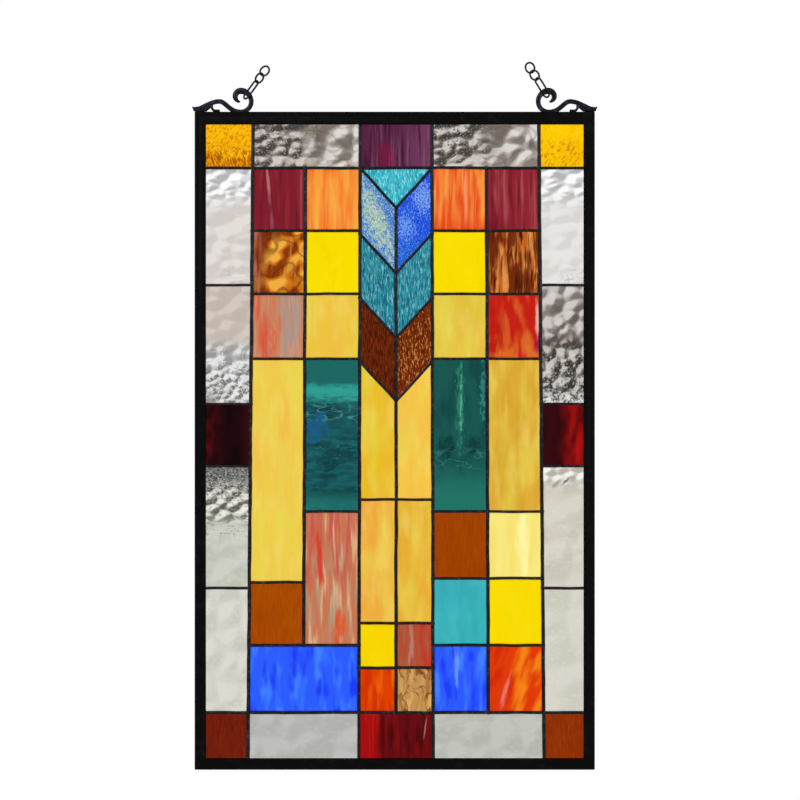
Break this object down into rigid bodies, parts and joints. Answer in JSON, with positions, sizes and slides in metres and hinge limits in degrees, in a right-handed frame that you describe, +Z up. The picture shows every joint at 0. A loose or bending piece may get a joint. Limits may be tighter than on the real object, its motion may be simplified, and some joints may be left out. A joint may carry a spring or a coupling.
{
  "type": "hanging stained glass window panel",
  "caption": "Upright stained glass panel of coloured cut panes in black soldered seams and a metal channel frame, with scroll hooks and short chains to hang it by.",
  "frame": {"origin": "the hanging point, on the middle plane of the glass and the panel's centre line, at the mean height of the centres of the two chains' top rings", "axes": "+Z up along the panel's height, +X to the right seen from the front, front face towards -Y"},
  "size_m": [0.3932, 0.0104, 0.685],
  "materials": {
    "frame_black": "satin black",
    "hook_metal": "satin blue black",
    "chain_wire": "satin black",
    "solder_black": "satin black patina on solder",
    "glass_clear": "clear glass with a hammered, wavy surface",
    "glass_smoky": "clear baroque glass with grey swirls",
    "glass_amber_granite": "amber glass with a granular surface",
    "glass_plum": "dark plum wispy opalescent glass",
    "glass_maroon": "maroon wispy opalescent glass",
    "glass_orange": "orange wispy opalescent glass",
    "glass_yellow": "plain bright yellow opalescent glass",
    "glass_straw": "straw yellow streaky opalescent glass",
    "glass_cream": "pale cream yellow streaky opalescent glass",
    "glass_agate": "amber and brown swirled glass",
    "glass_salmon": "salmon, red and grey streaky opalescent glass",
    "glass_teal": "dark teal wispy glass",
    "glass_turquoise": "turquoise rippled glass",
    "glass_sky_granite": "pale blue and white granular glass",
    "glass_cobalt_granite": "cobalt granular glass",
    "glass_brown_ripple": "brown rippled glass",
    "glass_russet": "russet fine grained glass",
    "glass_brick": "dark brick red glass",
    "glass_cobalt": "cobalt blue wispy opalescent glass",
    "glass_flame": "orange red swirled opalescent glass",
    "glass_ruby": "deep ruby streaky glass",
    "glass_veined": "tan glass with brown veins"
  },
  "bodies": {
    "root": {"frame": "frame_black", "solder_seams": "solder_black", "corner_top_left": "glass_amber_granite", "top_clear_left": "glass_smoky", "top_plum": "glass_plum", "top_clear_right": "glass_smoky", "corner_top_right": "glass_amber_granite", "right_clear_upper": "glass_clear", "right_clear_middle": "glass_smoky", "right_red_band": "glass_ruby", "right_clear_lower_pair": "glass_clear", "corner_bottom_right": "glass_brick", "bottom_clear_right": "glass_clear", "bottom_ruby": "glass_ruby", "bottom_clear_left": "glass_clear", "corner_bottom_left": "glass_brick", "left_clear_lower_pair": "glass_clear", "left_red_band": "glass_ruby", "left_clear_middle": "glass_clear", "left_clear_upper": "glass_clear", "maroon_left": "glass_maroon", "orange_left": "glass_orange", "agate_left": "glass_agate", "yellow_left": "glass_yellow", "salmon_left": "glass_salmon", "straw_left": "glass_straw", "straw_tall_left": "glass_straw", "teal_tall_left": "glass_teal", "russet_left": "glass_russet", "salmon_tall_left": "glass_salmon", "cobalt_wide_left": "glass_cobalt", "arrow_top": "glass_turquoise", "arrow_sky_left": "glass_sky_granite", "arrow_cobalt_right": "glass_cobalt_granite", "arrow_turquoise_pair": "glass_turquoise", "arrow_brown_pair": "glass_brown_ripple", "straw_upper_pair": "glass_straw", "straw_lower_pair": "glass_straw", "yellow_small": "glass_yellow", "salmon_small": "glass_salmon", "flame_small": "glass_flame", "veined_small": "glass_veined", "orange_right": "glass_orange", "maroon_right": "glass_maroon", "yellow_right": "glass_yellow", "agate_right": "glass_agate", "straw_right": "glass_straw", "flame_right": "glass_flame", "teal_tall_right": "glass_teal", "straw_tall_right": "glass_straw", "russet_right": "glass_russet", "cream_right": "glass_cream", "turquoise_right": "glass_turquoise", "yellow_lower_right": "glass_yellow", "cobalt_right": "glass_cobalt", "flame_lower_right": "glass_flame", "scroll_hook_left": "hook_metal", "chain_left": "chain_wire", "scroll_hook_right": "hook_metal", "chain_right": "chain_wire"}
  },
  "joints": []
}
